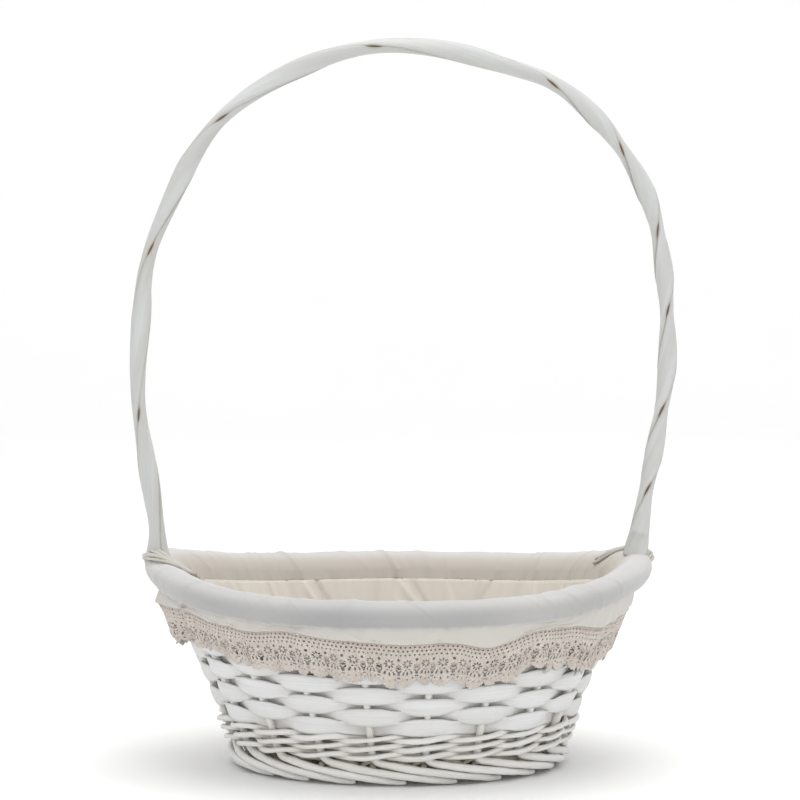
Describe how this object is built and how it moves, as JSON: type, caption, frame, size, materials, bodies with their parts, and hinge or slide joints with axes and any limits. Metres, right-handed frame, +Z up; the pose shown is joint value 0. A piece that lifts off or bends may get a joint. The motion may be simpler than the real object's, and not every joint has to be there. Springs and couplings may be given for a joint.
{
  "type": "flower girl basket",
  "caption": "Oval white willow and wood-chip basket with a tall fixed bow handle, a gathered cotton lining turned over the padded rim and a cotton lace skirt.",
  "frame": {"origin": "on the floor, under the middle of the oval and of the rim", "axes": "+X along the oval's long axis, in the plane of the handle bow; +Y across the oval towards the back; +Z up"},
  "size_m": [0.3065, 0.2234, 0.4059],
  "materials": {
    "painted_willow": "satin",
    "painted_chip": "satin",
    "painted_skein": "satin",
    "natural_willow": "matte",
    "brad_steel": "satin",
    "liner_cotton": "matte",
    "cotton_lace": "matte"
  },
  "bodies": {
    "root": {"side_stake_01": "painted_willow", "side_stake_02": "painted_willow", "side_stake_03": "painted_willow", "side_stake_04": "painted_willow", "side_stake_05": "painted_willow", "side_stake_06": "painted_willow", "side_stake_07": "painted_willow", "side_stake_08": "painted_willow", "side_stake_09": "painted_willow", "side_stake_10": "painted_willow", "side_stake_11": "painted_willow", "side_stake_12": "painted_willow", "side_stake_13": "painted_willow", "side_stake_14": "painted_willow", "side_stake_15": "painted_willow", "side_stake_16": "painted_willow", "side_stake_17": "painted_willow", "side_stake_18": "painted_willow", "side_stake_19": "painted_willow", "side_stake_20": "painted_willow", "chip_weaver_01": "painted_chip", "chip_weaver_02": "painted_chip", "chip_weaver_03": "painted_chip", "chip_weaver_04": "painted_chip", "chip_weaver_05": "painted_chip", "chip_weaver_06": "painted_chip", "chip_weaver_07": "painted_chip", "chip_weaver_08": "painted_chip", "chip_weaver_09": "painted_chip", "chip_weaver_10": "painted_chip", "wale_row_1": "painted_willow", "wale_row_2": "painted_willow", "wale_row_3": "painted_willow", "rim_inner_hoop": "painted_willow", "rim_outer_hoop": "painted_willow", "rim_top_rods": "painted_willow", "handle_brads": "brad_steel", "handle_core_rod_a": "natural_willow", "handle_core_rod_b": "natural_willow", "handle_chip_wrap_a": "painted_chip", "handle_chip_wrap_b": "painted_chip", "handle_lashing_left": "painted_skein", "handle_lashing_right": "painted_skein", "base_long_sticks": "painted_willow", "base_cross_sticks": "painted_willow", "base_weave_outer": "painted_willow", "base_weave_middle": "painted_willow", "base_weave_inner": "painted_willow", "lining_floor": "liner_cotton", "lining_wall": "liner_cotton", "rim_cover": "liner_cotton", "lace_trim": "cotton_lace"}
  },
  "joints": []
}
